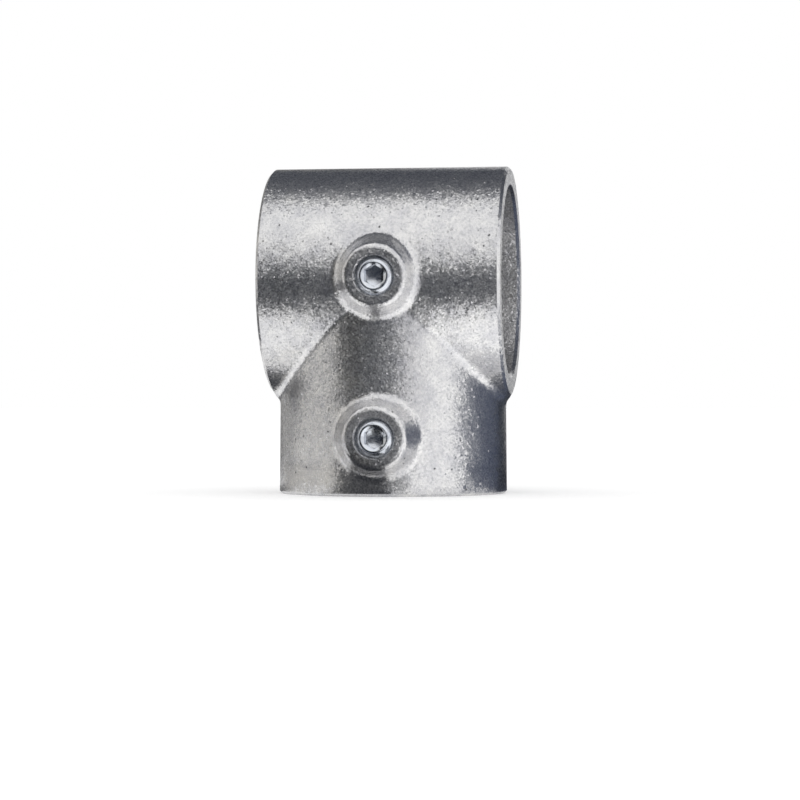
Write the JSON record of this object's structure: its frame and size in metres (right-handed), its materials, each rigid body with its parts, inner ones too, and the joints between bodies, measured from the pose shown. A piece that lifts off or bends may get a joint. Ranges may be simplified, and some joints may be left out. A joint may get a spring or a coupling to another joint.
{
  "type": "tube clamp tee fitting",
  "caption": "Galvanised cast tee fitting that clamps an upright tube under a rail tube that passes through, each held by a hexagon socket set screw in a raised boss.",
  "frame": {"origin": "where the axis of the rail's bore crosses the axis of the upright's socket", "axes": "+X along the rail's bore, the socket opens towards -Z, the bosses and set screws face -Y"},
  "size_m": [0.063, 0.0651, 0.0864],
  "materials": {
    "galvanised_casting": "hot-dip galvanised, as cast",
    "plated_screw": "bright zinc plated"
  },
  "bodies": {
    "casting": {"casting": "galvanised_casting"},
    "rail_set_screw": {"rail_set_screw": "plated_screw"},
    "upright_set_screw": {"upright_set_screw": "plated_screw"}
  },
  "joints": [
    {"name": "rail_screw_feed", "type": "slide", "parent": "casting", "child": "rail_set_screw", "axis": [0, 1, 0], "range_m": [-0.005, 0.002]},
    {"name": "upright_screw_feed", "type": "slide", "parent": "casting", "child": "upright_set_screw", "axis": [0, 1, 0], "range_m": [-0.005, 0.002]}
  ]
}
